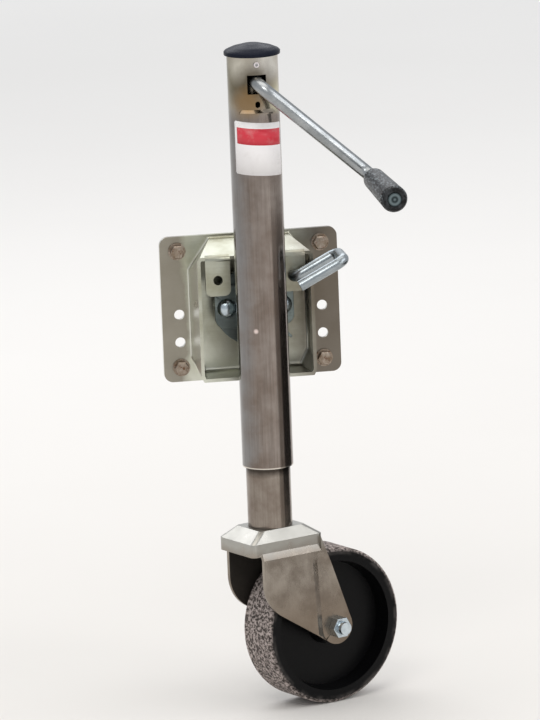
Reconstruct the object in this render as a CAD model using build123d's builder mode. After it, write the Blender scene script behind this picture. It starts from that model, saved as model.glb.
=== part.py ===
from build123d import *

import os
from math import asin, atan2, cos, degrees, hypot, radians, sin, tan

# Swing-up side-wind tongue jack with a caster wheel, on a bolt-on swivel bracket.
# Millimetres. X runs along the frame rail, Y goes back into it, Z is up.
# The origin is the centre of the four mounting bolts, on the bracket's back face.
# A depth is a distance in front of that face, along -Y.

# Mounting plate and its bolts
plate_width = 180.0
plate_height = 148.0
plate_thickness = 4.8
plate_corner = 9.0
bolt_pitch_x = 145.0
bolt_pitch_z = 118.5
bolt_radius = 3.97
bolt_thread_radius = 3.7
bolt_head_flats = 12.7
bolt_head_height = 5.3
bolt_reach_behind = 22.0
bolt_chamfer = 0.8
bolt_hole_radius = 5.15
washer_radius = 8.75
washer_clearance = 0.35
washer_thickness = 1.6
spare_hole_upper_z = -5.5
spare_hole_pitch_z = 28.3

# Pressed box on the plate, open at the front
sheet = 3.4
box_depth = 46.0
root_half_width = 61.5
root_top_half_width = 39.0
root_bottom_half_width = 51.0
root_top_z = 71.0
root_side_top_z = 39.0
root_side_bottom_z = -48.0
root_bottom_z = -68.5
mouth_half_width = 58.5
mouth_top_z = 59.0
mouth_bottom_z = -68.0
mouth_corner_x = 2.8
root_inner_bend = 4.0
root_outer_bend = 2.4

# Lock tabs folded down from the top of the box
tab_width = 25.0
tab_length = 40.0
tab_corner = 6.0
tab_bend = 6.5
tab_bend_run = 9.0
pin_x = 38.0
pin_z = 35.0
pin_radius = 4.75
running_gap = 0.1

# Swivel: spindle, index plate and saddle
pivot_z = 3.0
spindle_boss_radius = 20.0
spindle_neck_radius = 9.5
spindle_flange_radius = 13.0
spindle_flange_thickness = 3.5
face_gap = 0.3
pin_edge = 1.3
index_back_depth = 20.0
index_thickness = 6.0
index_radius = 40.0
lug_width = 14.8
lug_reach = 51.0
saddle_bolt_x = 28.0
saddle_bolt_radius = 5.0
saddle_head_radius = 9.8
saddle_head_edge = 1.2
saddle_head_dome = 5.4
saddle_sheet = 4.0
saddle_half_width = 40.0
saddle_web_x = 14.0
saddle_top_z = 26.0
saddle_bottom_z = -18.0
saddle_corner = 11.0
bridge_depth = 36.0

# Pull pin with its bent handle
pin_tip_depth = 18.0
handle_bar_radius = 5.6
handle_clearance = 1.0
handle_angle = 27.0
handle_length = 49.0
handle_span = 41.0
handle_bend = 8.0
handle_tail = -2.0

# Outer and inner tubes
tube_depth = 78.0
outer_radius = 25.4
inner_radius = 22.225
inner_wall = 3.0
slide_gap = 0.3
tube_top_z = 267.2
tube_bottom_z = -148.5
inner_top_z = 150.0
inner_bottom_z = -209.6
cap_rim_radius = 28.0
cap_rim_height = 4.6
cap_edge = 1.6
cap_shoulder_radius = 20.0
cap_flat_radius = 9.0
cap_rise = 5.6
cap_skirt = 14.0
cap_lead_in = 2.0
rivet_drop = 7.2
rivet_radius = 3.3
rivet_shank_radius = 2.3
rivet_dimple_radius = 1.4
rivet_dimple_depth = 2.4
rivet_head = 1.4
rivet_taper = 20.0
ledge_drop = 56.9
ledge_height = 1.6
ledge_half_width = 18.0
ledge_proud = 3.0
ledge_slope_height = 3.0
ledge_taper = 42.0
grease_hole_drop = 47.2
grease_hole_length = 6.5
grease_hole_width = 4.8

# Crank
crank_drop = 25.7
window_drop = 27.2
window_size = 19.0
crank_rod_radius = 6.8
crank_plane_depth = 116.5
crank_bend = 15.0
crank_arm = 146.0
crank_angle = -42.0
crank_tail_depth = 47.0
grip_start = 16.0
grip_length = 116.0
grip_back_radius = 11.0
grip_front_radius = 13.2
grip_edge = 2.0

# Caster, turned about the tube's axis as it stands at rest
caster_turn = 25.5
crown_length = 85.0
crown_rise = 10.5
crown_rim = 13.0
crown_corner = 5.0
crown_top_length = 54.0
crown_top_width = 44.0
crown_inset = 3.0
crease_drop = 6.0
flare_inset = 5.0
flare_height = 11.0
crease_end = 1.0
fork_sheet = 4.0
leg_front_u = -31.5
leg_rear_u = 37.0
leg_straight = 18.0
shoulder_u = 8.5
shoulder_z = -262.7
shoulder_radius = 40.0
leg_boss_radius = 18.0
boss_step_depth = 4.0
boss_recess_radius = 26.0
recess_slope = 8.0
recess_end_radius = 10.0
recess_end_drop = 16.0
pad_margin = 3.0
trail = 57.0
axle_z = -319.5
axle_radius = 6.35
axle_nut_flats = 19.0
axle_nut_height = 9.0
axle_end = 6.0
spacer_wall = 3.0
king_pin_radius = 9.5
king_head_radius = 16.0
king_head_height = 6.0
king_plug = 14.0

# Wheel
wheel_radius = 79.0
wheel_width = 48.0
wheel_gap = 5.0
hub_radius = 19.0
tyre_inner_radius = 66.0
web_thickness = 14.0
tread_edge = 3.0
web_slope = 3.0
hub_slope = 2.0


def in_front(depth):
    """Plane facing the viewer, with X to the right and Z up."""
    return Plane.XZ.offset(depth)


def upright_at(x, z, depth):
    """Plane of a crosswise piece: its normal points to the viewer."""
    return Plane(origin=(x, -depth, z), x_dir=(1, 0, 0), z_dir=(0, -1, 0))


def box_section(depth, corners, inset):
    """One section of the pressed box, optionally moved in by the sheet."""
    with BuildSketch(in_front(depth)) as section:
        with BuildLine():
            Polyline(*corners, close=True)
        make_face()
        if inset:
            offset(amount=-inset, kind=Kind.INTERSECTION, mode=Mode.REPLACE)
    return section.sketch


def hex_bolt(plane, flats, head_height, shank_radius, shank_length):
    """Hexagon head standing on the plane, with its shank behind it."""
    with BuildPart() as bolt:
        with BuildSketch(plane):
            RegularPolygon(flats / 2, 6, major_radius=False)
        extrude(amount=head_height)
        chamfer(bolt.edges().group_by(Axis(plane.origin, plane.z_dir))[-1], bolt_chamfer)
        with BuildSketch(plane):
            Circle(shank_radius)
        extrude(amount=-shank_length)
    return bolt.part


os.makedirs("parts", exist_ok=True)
finished = []


def finish(part, name):
    """Label a finished piece and write its file."""
    part.label = name
    export_step(part, f"parts/{name}.step")
    finished.append(name)


# Mount bracket

root_corners = [
    (-root_top_half_width, root_top_z),
    (root_top_half_width, root_top_z),
    (root_half_width, root_side_top_z),
    (root_half_width, root_side_bottom_z),
    (root_bottom_half_width, root_bottom_z),
    (-root_bottom_half_width, root_bottom_z),
    (-root_half_width, root_side_bottom_z),
    (-root_half_width, root_side_top_z),
]
# the mouth's corners slant as the root's do, which keeps the folded corners flat
top_slant = (root_top_z - root_side_top_z) / (root_half_width - root_top_half_width)
low_slant = (root_side_bottom_z - root_bottom_z) / (root_half_width - root_bottom_half_width)
mouth_top_corner_z = mouth_corner_x * top_slant
mouth_low_corner_z = mouth_corner_x * low_slant
mouth_corners = [
    (-mouth_half_width + mouth_corner_x, mouth_top_z),
    (mouth_half_width - mouth_corner_x, mouth_top_z),
    (mouth_half_width, mouth_top_z - mouth_top_corner_z),
    (mouth_half_width, mouth_bottom_z + mouth_low_corner_z),
    (mouth_half_width - mouth_corner_x, mouth_bottom_z),
    (-mouth_half_width + mouth_corner_x, mouth_bottom_z),
    (-mouth_half_width, mouth_bottom_z + mouth_low_corner_z),
    (-mouth_half_width, mouth_top_z - mouth_top_corner_z),
]
spare_hole_z = spare_hole_upper_z - spare_hole_pitch_z / 2

# section of a tab's bend, in Y and Z
wall_lean = atan2(root_top_z - mouth_top_z, box_depth - plate_thickness)
mouth_edge = (-box_depth, mouth_top_z)
tab_outer = (-box_depth, mouth_top_z - tab_bend_run)
tab_inner = (-box_depth + sheet, mouth_top_z - tab_bend_run)
bend_inner = (-box_depth + sheet, mouth_top_z + sheet * (tan(wall_lean) - 1 / cos(wall_lean)))
wall_outer = (-box_depth + tab_bend_run * cos(wall_lean), mouth_top_z + tab_bend_run * sin(wall_lean))
wall_inner = (wall_outer[0] - sheet * sin(wall_lean), wall_outer[1] - sheet * cos(wall_lean))

with BuildPart() as mount_bracket:
    for inset, mode in ((0, Mode.ADD), (sheet, Mode.SUBTRACT)):
        root = box_section(plate_thickness, root_corners, inset)
        mouth = box_section(box_depth, mouth_corners, inset)
        loft([root, mouth], ruled=True, mode=mode)
    with BuildSketch(Plane.XZ):
        RectangleRounded(plate_width, plate_height, plate_corner)
        with GridLocations(bolt_pitch_x, bolt_pitch_z, 2, 2):
            Circle(bolt_hole_radius, mode=Mode.SUBTRACT)
        with Locations((0, spare_hole_z)):
            with GridLocations(bolt_pitch_x, spare_hole_pitch_z, 2, 2):
                Circle(bolt_hole_radius, mode=Mode.SUBTRACT)
    extrude(amount=plate_thickness)
    with BuildSketch(in_front(box_depth - sheet)) as tabs:
        with Locations((-pin_x, mouth_top_z - tab_length / 2), (pin_x, mouth_top_z - tab_length / 2)):
            Rectangle(tab_width, tab_length)
        fillet(tabs.vertices().group_by(Axis.Y)[0], tab_corner)
        with Locations((-pin_x, pin_z), (pin_x, pin_z)):
            Circle(pin_radius + running_gap, mode=Mode.SUBTRACT)
    extrude(amount=sheet)
    for side in (-1, 1):
        with BuildSketch(Plane.YZ.offset(side * pin_x)):
            with BuildLine():
                Polyline(wall_outer, mouth_edge, tab_outer, tab_inner, wall_inner, close=True)
            make_face()
        extrude(amount=tab_width / 2, both=True, mode=Mode.SUBTRACT)
        with BuildSketch(Plane.YZ.offset(side * pin_x)) as bend:
            with BuildLine():
                Polyline(wall_outer, mouth_edge, tab_outer, tab_inner, bend_inner, wall_inner, close=True)
            make_face()
            fillet(bend.vertices().sort_by_distance(mouth_edge)[0], tab_bend)
            fillet(bend.vertices().sort_by_distance(bend_inner)[0], tab_bend - sheet)
        extrude(amount=tab_width / 2, both=True)
    floor_face = mount_bracket.faces().sort_by_distance((0, -plate_thickness, 0))[0]
    fillet(floor_face.edges(), root_inner_bend)
    plate_front = mount_bracket.faces().filter_by_position(Axis.Y, -plate_thickness, -plate_thickness)
    rim_face = plate_front.sort_by_distance((plate_width / 2, -plate_thickness, 0))[0]
    root_edges = [edge for wire in rim_face.inner_wires() for edge in wire.edges().filter_by(GeomType.LINE)]
    fillet(root_edges, root_outer_bend)
finish(mount_bracket.part, "mount_bracket")

# Bolts and washers that fasten the bracket to the rail

bolt_sides = [(-1, 1), (1, 1), (-1, -1), (1, -1)]
for number, (side_x, side_z) in enumerate(bolt_sides, start=1):
    bolt_x, bolt_z = side_x * bolt_pitch_x / 2, side_z * bolt_pitch_z / 2
    with BuildPart() as washer:
        with BuildSketch(upright_at(bolt_x, bolt_z, plate_thickness)):
            Circle(washer_radius)
            Circle(bolt_radius + washer_clearance, mode=Mode.SUBTRACT)
        extrude(amount=washer_thickness)
    finish(washer.part, f"mount_washer_{number}")
    seat = plate_thickness + washer_thickness
    plane = upright_at(bolt_x, bolt_z, seat)
    with BuildPart() as bolt:
        add(hex_bolt(plane, bolt_head_flats, bolt_head_height, bolt_radius, seat))
        with BuildSketch(upright_at(bolt_x, bolt_z, 0)):
            Circle(bolt_thread_radius)
        extrude(amount=-bolt_reach_behind)
    finish(bolt.part, f"mount_bolt_{number}")

# Spindle that the jack swings on

index_front_depth = index_back_depth + index_thickness

with BuildPart() as swivel_spindle:
    with BuildSketch(upright_at(0, pivot_z, plate_thickness)):
        Circle(spindle_boss_radius)
    extrude(amount=index_back_depth - face_gap - plate_thickness)
    with BuildSketch(upright_at(0, pivot_z, plate_thickness)):
        Circle(spindle_neck_radius)
    extrude(amount=index_front_depth + face_gap - plate_thickness)
    with BuildSketch(upright_at(0, pivot_z, index_front_depth + face_gap)):
        Circle(spindle_flange_radius)
    extrude(amount=spindle_flange_thickness)
    chamfer(swivel_spindle.edges().group_by(Axis.Y)[0], pin_edge)
finish(swivel_spindle.part, "swivel_spindle")

# Index plate, with one open notch for each locked position

lock_radius = hypot(pin_x, pin_z - pivot_z)
lock_angle = degrees(atan2(pin_z - pivot_z, pin_x))

with BuildPart() as index_plate:
    with BuildSketch(upright_at(0, pivot_z, index_back_depth)):
        for angle in (lock_angle, lock_angle - 90):
            with Locations(Location((0, 0), angle)):
                Rectangle(lug_reach, lug_width, align=(Align.MIN, Align.CENTER))
        Circle(lug_reach, mode=Mode.INTERSECT)
        Circle(index_radius)
        for angle in (lock_angle, lock_angle - 90):
            with Locations(Location((0, 0), angle)):
                with Locations((lock_radius, 0)):
                    Circle(pin_radius + running_gap, mode=Mode.SUBTRACT)
                    Rectangle(
                        lug_reach,
                        2 * (pin_radius + running_gap),
                        align=(Align.MIN, Align.CENTER),
                        mode=Mode.SUBTRACT,
                    )
        Circle(spindle_neck_radius + running_gap, mode=Mode.SUBTRACT)
        with Locations((-saddle_bolt_x, 0), (saddle_bolt_x, 0)):
            Circle(saddle_bolt_radius, mode=Mode.SUBTRACT)
    extrude(amount=index_thickness)
finish(index_plate.part, "index_plate")

# Saddle between the index plate and the tube

saddle_height = saddle_top_z - saddle_bottom_z
saddle_middle_z = (saddle_top_z + saddle_bottom_z) / 2
saddle_back_depth = index_front_depth
saddle_front_depth = saddle_back_depth + saddle_sheet

with BuildPart() as tube_saddle:
    with BuildSketch(in_front(saddle_back_depth)) as flanges:
        for side in (-1, 1):
            with Locations((side * (saddle_web_x + saddle_half_width) / 2, saddle_middle_z)):
                Rectangle(saddle_half_width - saddle_web_x, saddle_height)
        outer_corners = flanges.vertices().group_by(Axis.X)
        fillet(outer_corners[0] + outer_corners[-1], saddle_corner)
        with Locations((-saddle_bolt_x, pivot_z), (saddle_bolt_x, pivot_z)):
            Circle(saddle_bolt_radius + running_gap, mode=Mode.SUBTRACT)
    extrude(amount=saddle_sheet)
    with BuildSketch(Plane.XY.offset(saddle_bottom_z)):
        for side in (-1, 1):
            with Locations((side * (saddle_web_x + saddle_sheet / 2), -saddle_back_depth)):
                Rectangle(saddle_sheet, tube_depth - saddle_back_depth, align=(Align.CENTER, Align.MAX))
        with Locations((0, -bridge_depth)):
            Rectangle(2 * saddle_web_x, saddle_sheet, align=(Align.CENTER, Align.MAX))
        with Locations((0, -tube_depth)):
            Circle(outer_radius, mode=Mode.SUBTRACT)
    extrude(amount=saddle_height)
finish(tube_saddle.part, "tube_saddle")

dome_radius = (saddle_head_radius**2 + saddle_head_dome**2) / (2 * saddle_head_dome)
dome_half_turn = asin(saddle_head_radius / dome_radius) / 2
dome_centre = dome_radius - saddle_head_edge - saddle_head_dome
for name, side in (("left", -1), ("right", 1)):
    seat = upright_at(side * saddle_bolt_x, pivot_z, saddle_front_depth)
    with BuildPart() as saddle_bolt:
        with BuildSketch(Plane(origin=seat.origin, x_dir=(1, 0, 0), z_dir=(0, 0, 1))):
            with BuildLine():
                Line((0, 0), (saddle_head_radius, 0))
                Line((saddle_head_radius, 0), (saddle_head_radius, -saddle_head_edge))
                ThreePointArc(
                    (saddle_head_radius, -saddle_head_edge),
                    (dome_radius * sin(dome_half_turn), dome_centre - dome_radius * cos(dome_half_turn)),
                    (0, -saddle_head_edge - saddle_head_dome),
                )
                Line((0, -saddle_head_edge - saddle_head_dome), (0, 0))
            make_face()
        revolve(axis=Axis(seat.origin, (0, 1, 0)))
        with BuildSketch(seat):
            Circle(saddle_bolt_radius)
        extrude(amount=-(saddle_sheet + index_thickness))
    finish(saddle_bolt.part, f"saddle_bolt_{name}")

# Pull pin: a round bar through the tab, bent into a handle

leg_x = cos(radians(handle_angle))
leg_z = sin(radians(handle_angle))


def handle_point(along, depth):
    """Point of the handle, at a distance along it and at a depth."""
    return (pin_x + along * leg_x, -depth, pin_z + along * leg_z)


pin_shoulder_depth = box_depth + handle_clearance
pin_bend_depth = pin_shoulder_depth + handle_clearance + handle_bend
near_leg_depth = pin_bend_depth + handle_span

with BuildPart() as pull_pin:
    with BuildSketch(upright_at(pin_x, pin_z, pin_tip_depth)):
        Circle(pin_radius)
    extrude(amount=pin_shoulder_depth - pin_tip_depth)
    with BuildLine() as bar:
        FilletPolyline(
            handle_point(0, pin_shoulder_depth),
            handle_point(0, pin_bend_depth),
            handle_point(handle_length, pin_bend_depth),
            handle_point(handle_length, near_leg_depth),
            handle_point(handle_tail, near_leg_depth),
            radius=handle_bend,
        )
    with BuildSketch(upright_at(pin_x, pin_z, pin_shoulder_depth)):
        Circle(handle_bar_radius)
    sweep()
finish(pull_pin.part, "pull_pin")

# Outer tube, open at both ends, with the crank's window

bore_radius = inner_radius + slide_gap
crank_z = tube_top_z - crank_drop
window_z = tube_top_z - window_drop
ledge_z = tube_top_z - ledge_drop
grease_hole_z = tube_top_z - grease_hole_drop
rivet_z = tube_top_z - rivet_drop
tube_front_depth = tube_depth + outer_radius
tube_height = tube_top_z - tube_bottom_z

with BuildPart() as outer_tube:
    with BuildSketch(Plane.XY.offset(tube_bottom_z)):
        with Locations((0, -tube_depth)):
            Circle(outer_radius)
    extrude(amount=tube_height)
    for level, height, taper in ((0, ledge_height, 0), (ledge_height, ledge_slope_height, ledge_taper)):
        with BuildSketch(Plane.XY.offset(ledge_z + level)):
            with Locations((0, -tube_depth)):
                Circle(outer_radius + ledge_proud)
                Rectangle(
                    2 * ledge_half_width,
                    2 * outer_radius,
                    align=(Align.CENTER, Align.MAX),
                    mode=Mode.INTERSECT,
                )
        extrude(amount=height, taper=taper)
    with BuildSketch(Plane.XY.offset(tube_bottom_z)):
        with Locations((0, -tube_depth)):
            Circle(bore_radius)
    extrude(amount=tube_height, mode=Mode.SUBTRACT)
    with BuildSketch(upright_at(0, window_z, tube_depth)):
        Rectangle(window_size, window_size)
    extrude(amount=tube_front_depth, mode=Mode.SUBTRACT)
    with BuildSketch(upright_at(0, crank_z, tube_depth)):
        Circle(crank_rod_radius + running_gap)
    extrude(amount=-tube_depth, mode=Mode.SUBTRACT)
    with BuildSketch(upright_at(0, rivet_z, tube_depth)):
        Circle(rivet_shank_radius)
    extrude(amount=tube_front_depth, mode=Mode.SUBTRACT)
    with BuildSketch(upright_at(0, grease_hole_z, tube_depth)):
        SlotOverall(grease_hole_length, grease_hole_width, rotation=90)
    extrude(amount=tube_front_depth, mode=Mode.SUBTRACT)
finish(outer_tube.part, "outer_tube")

# Plug cap with a low domed top, and the rivet below it

rim_top_z = tube_top_z + cap_rim_height

with BuildPart() as top_cap:
    with BuildSketch(Plane.XZ):
        with BuildLine():
            Polyline(
                (0, tube_top_z - cap_skirt),
                (bore_radius - cap_lead_in, tube_top_z - cap_skirt),
                (bore_radius, tube_top_z - cap_skirt + cap_lead_in),
                (bore_radius, tube_top_z),
                (cap_rim_radius, tube_top_z),
                (cap_rim_radius, rim_top_z - cap_edge),
                (cap_rim_radius - cap_edge, rim_top_z),
                (cap_shoulder_radius, rim_top_z + cap_rise / 2),
                (cap_flat_radius, rim_top_z + cap_rise),
                (0, rim_top_z + cap_rise),
                close=True,
            )
        make_face()
    revolve(axis=Axis.Z)
finish(top_cap.part.moved(Location((0, -tube_depth, 0))), "top_cap")

with BuildPart() as cap_rivet:
    with BuildSketch(upright_at(0, rivet_z, bore_radius + tube_depth)):
        Circle(rivet_shank_radius)
    extrude(amount=tube_front_depth - tube_depth - bore_radius)
    with BuildSketch(upright_at(0, rivet_z, tube_front_depth)):
        Circle(rivet_radius)
    extrude(amount=rivet_head, taper=rivet_taper)
    with BuildSketch(upright_at(0, rivet_z, tube_front_depth + rivet_head)):
        Circle(rivet_dimple_radius)
    extrude(amount=-rivet_dimple_depth, mode=Mode.SUBTRACT)
finish(cap_rivet.part, "cap_rivet")

# Crank: the rod comes out of the window, bends down to the right and ends in a grip

arm_x = cos(radians(crank_angle))
arm_z = sin(radians(crank_angle))


def crank_point(along, depth):
    """Point of the crank, at a distance along its arm and at a depth."""
    return (along * arm_x, -depth, crank_z + along * arm_z)


rod_end_depth = crank_plane_depth + grip_start + grip_length

with BuildPart() as crank_rod:
    with BuildLine() as rod_line:
        FilletPolyline(
            crank_point(0, crank_tail_depth),
            crank_point(0, crank_plane_depth),
            crank_point(crank_arm, crank_plane_depth),
            crank_point(crank_arm, rod_end_depth),
            radius=crank_bend,
        )
    with BuildSketch(upright_at(0, crank_z, crank_tail_depth)):
        Circle(crank_rod_radius)
    sweep()
finish(crank_rod.part, "crank_rod")

grip_x, _, grip_z = crank_point(crank_arm, 0)

with BuildPart() as crank_grip:
    with BuildSketch(Plane.XY):
        with BuildLine():
            Polyline(
                (crank_rod_radius + running_gap, 0),
                (grip_back_radius - grip_edge, 0),
                (grip_back_radius, grip_edge),
                (grip_front_radius, grip_length - 2 * grip_edge),
                (grip_front_radius - grip_edge, grip_length),
                (crank_rod_radius + running_gap, grip_length),
                close=True,
            )
        make_face()
    revolve(axis=Axis.Y)
grip_origin = (grip_x, -crank_plane_depth - grip_start, grip_z)
grip_place = Plane(origin=grip_origin, x_dir=(1, 0, 0), z_dir=(0, 0, -1))
finish(crank_grip.part.moved(grip_place.location), "crank_grip")

# Inner tube and the plug that carries the king pin

with BuildPart() as inner_tube:
    with BuildSketch(Plane.XY.offset(inner_bottom_z)):
        with Locations((0, -tube_depth)):
            Circle(inner_radius)
            Circle(inner_radius - inner_wall, mode=Mode.SUBTRACT)
    extrude(amount=inner_top_z - inner_bottom_z)
finish(inner_tube.part, "inner_tube")

crown_top_z = inner_bottom_z - face_gap
crown_rim_top_z = crown_top_z - crown_rise
crown_rim_bottom_z = crown_rim_top_z - crown_rim
king_bottom_z = crown_top_z - fork_sheet - king_head_height - face_gap

with BuildPart() as king_pin:
    with BuildSketch(Plane.XY.offset(inner_bottom_z)):
        with Locations((0, -tube_depth)):
            Circle(inner_radius - inner_wall)
    extrude(amount=king_plug)
    with BuildSketch(Plane.XY.offset(king_bottom_z)):
        with Locations((0, -tube_depth)):
            Circle(king_pin_radius)
    extrude(amount=inner_bottom_z - king_bottom_z)
    with BuildSketch(Plane.XY.offset(king_bottom_z)):
        with Locations((0, -tube_depth)):
            Circle(king_head_radius)
    extrude(amount=king_head_height)
    chamfer(king_pin.edges().group_by(Axis.Z)[0], pin_edge)
finish(king_pin.part, "king_pin")

# Fork, drawn in a frame whose X runs along the trail and whose -Y faces the near side

caster_place = Location((0, -tube_depth, 0), (0, 0, caster_turn))
leg_half_gap = wheel_width / 2 + wheel_gap
leg_outer_gap = leg_half_gap + fork_sheet
boss_outer_gap = leg_outer_gap - boss_step_depth
boss_inner_gap = leg_half_gap - boss_step_depth
crown_width = 2 * (leg_outer_gap - crown_inset)
crown_opening = 2 * (leg_half_gap - crown_inset)
crease_z = crown_rim_top_z - crease_drop
flare_bottom_z = crease_z - flare_height
leg_low_z = axle_z - 2 * leg_boss_radius
rim_inner_length = crown_length - 2 * fork_sheet

# what is cut away, in Y and Z, where each leg steps out below the crown
outer_flare = [
    (-leg_outer_gap, flare_bottom_z),
    (-leg_outer_gap + flare_inset, crease_z),
    (-leg_outer_gap + crown_inset, crease_z),
    (-leg_outer_gap + crown_inset, crown_rim_top_z),
    (-leg_outer_gap - flare_inset, crown_rim_top_z),
    (-leg_outer_gap - flare_inset, flare_bottom_z),
]
inner_flare = [
    (-leg_half_gap, flare_bottom_z),
    (-leg_half_gap + flare_inset, crease_z),
    (-leg_half_gap + 2 * flare_inset, crease_z),
    (-leg_half_gap + 2 * flare_inset, flare_bottom_z),
]
inner_leg = [
    (-leg_half_gap, flare_bottom_z),
    (-leg_half_gap + 2 * flare_inset, flare_bottom_z),
    (-leg_half_gap + 2 * flare_inset, leg_low_z),
    (-leg_half_gap, leg_low_z),
]

with BuildPart() as caster_fork:
    with BuildSketch(Plane.XY.offset(crown_rim_bottom_z)):
        RectangleRounded(crown_length, crown_width, crown_corner)
    extrude(amount=crown_rim)
    with BuildSketch(Plane.XY.offset(crown_rim_top_z)):
        RectangleRounded(crown_length, crown_width, crown_corner)
    with BuildSketch(Plane.XY.offset(crown_top_z)):
        RectangleRounded(crown_top_length, crown_top_width, crown_corner)
    loft()
    with BuildSketch(Plane.XY.offset(crown_rim_bottom_z)):
        RectangleRounded(rim_inner_length, crown_opening, crown_corner / 2)
    extrude(amount=crown_rim - fork_sheet / 2, mode=Mode.SUBTRACT)
    with BuildSketch(Plane.XY.offset(crown_rim_top_z - fork_sheet / 2)):
        RectangleRounded(rim_inner_length, crown_opening, crown_corner / 2)
    with BuildSketch(Plane.XY.offset(crown_top_z - fork_sheet)):
        RectangleRounded(crown_top_length - fork_sheet, crown_top_width - 2 * fork_sheet, crown_corner / 2)
    loft(mode=Mode.SUBTRACT)
    with BuildSketch(in_front(leg_half_gap - flare_inset)) as leg_outline:
        with Locations((leg_front_u, crown_rim_top_z)):
            Rectangle(leg_rear_u - leg_front_u, leg_straight, align=(Align.MIN, Align.MAX))
        with Locations((shoulder_u, shoulder_z)):
            Circle(shoulder_radius)
        with Locations((trail, axle_z)):
            Circle(leg_boss_radius)
        make_hull()
        with Locations((trail, axle_z)):
            Circle(axle_radius + running_gap, mode=Mode.SUBTRACT)
    extrude(amount=fork_sheet + flare_inset)
    flare_length = leg_rear_u - leg_front_u + crease_end
    for corners, start, length in (
        (outer_flare, leg_front_u, flare_length),
        (inner_flare, leg_front_u, flare_length),
        (inner_leg, leg_front_u, trail + 2 * leg_boss_radius - leg_front_u),
    ):
        with BuildSketch(Plane.YZ.offset(start)):
            with BuildLine():
                Polyline(*corners, close=True)
            make_face()
        extrude(amount=length, mode=Mode.SUBTRACT)
    with BuildSketch(in_front(leg_half_gap)):
        with Locations((trail, axle_z)):
            Circle(boss_recess_radius + pad_margin)
        with Locations((leg_rear_u, crown_rim_bottom_z - recess_end_drop)):
            Circle(recess_end_radius + pad_margin)
        make_hull()
        add(leg_outline.sketch_local, mode=Mode.INTERSECT)
    extrude(amount=-boss_step_depth)
    for depth, slope in ((boss_outer_gap, recess_slope), (leg_outer_gap, 0)):
        with BuildSketch(in_front(depth)):
            with Locations((trail, axle_z)):
                Circle(boss_recess_radius - slope)
            with Locations((leg_rear_u, crown_rim_bottom_z - recess_end_drop)):
                Circle(recess_end_radius - slope)
            make_hull()
    loft(mode=Mode.SUBTRACT)
    mirror(about=Plane.XZ)
    with BuildSketch(Plane.XY.offset(crown_rim_bottom_z)):
        Circle(king_pin_radius + running_gap)
    extrude(amount=crown_top_z - crown_rim_bottom_z, mode=Mode.SUBTRACT)
finish(caster_fork.part.moved(caster_place), "caster_fork")

# Axle bolt, its nut and the two spacers beside the hub

axle_length = 2 * boss_outer_gap + axle_nut_height + axle_end

with BuildPart() as axle_bolt:
    far_head = hex_bolt(
        Plane(origin=(trail, boss_outer_gap, axle_z), x_dir=(1, 0, 0), z_dir=(0, 1, 0)),
        axle_nut_flats,
        axle_nut_height,
        axle_radius,
        axle_length,
    )
    add(far_head)
finish(axle_bolt.part.moved(caster_place), "axle_bolt")

with BuildPart() as axle_nut:
    with BuildSketch(upright_at(trail, axle_z, boss_outer_gap)):
        RegularPolygon(axle_nut_flats / 2, 6, major_radius=False)
        Circle(axle_radius, mode=Mode.SUBTRACT)
    extrude(amount=axle_nut_height)
finish(axle_nut.part.moved(caster_place), "axle_nut")

for name, direction in (("near", 1), ("far", -1)):
    with BuildPart() as spacer:
        with BuildSketch(upright_at(trail, axle_z, direction * boss_inner_gap)):
            Circle(axle_radius + spacer_wall)
            Circle(axle_radius, mode=Mode.SUBTRACT)
        extrude(amount=-direction * (wheel_gap - face_gap))
    finish(spacer.part.moved(caster_place), f"axle_spacer_{name}")

# Wheel: a solid moulded tyre ring on a webbed centre with a hub

half_wheel = wheel_width / 2
half_hub = boss_inner_gap - wheel_gap

with BuildPart() as caster_wheel:
    with BuildSketch(Plane.XY) as profile:
        Rectangle(wheel_radius, wheel_width, align=(Align.MIN, Align.CENTER))
        chamfer(profile.vertices().group_by(Axis.X)[-1], tread_edge)
        for side in (-1, 1):
            with BuildLine():
                Polyline(
                    (0, side * half_wheel),
                    (tyre_inner_radius, side * half_wheel),
                    (tyre_inner_radius - web_slope, side * web_thickness / 2),
                    (hub_radius + hub_slope, side * web_thickness / 2),
                    (hub_radius, side * half_hub),
                    (0, side * half_hub),
                    close=True,
                )
            make_face(mode=Mode.SUBTRACT)
        Rectangle(axle_radius + running_gap, wheel_width, align=(Align.MIN, Align.CENTER), mode=Mode.SUBTRACT)
    revolve(axis=Axis.Y)
wheel_place = caster_place * Location((trail, 0, axle_z))
finish(caster_wheel.part.moved(wheel_place), "caster_wheel")

print(len(finished), "pieces")
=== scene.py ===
import math
import random

import bmesh
import bpy
from mathutils import Matrix, Vector


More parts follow.
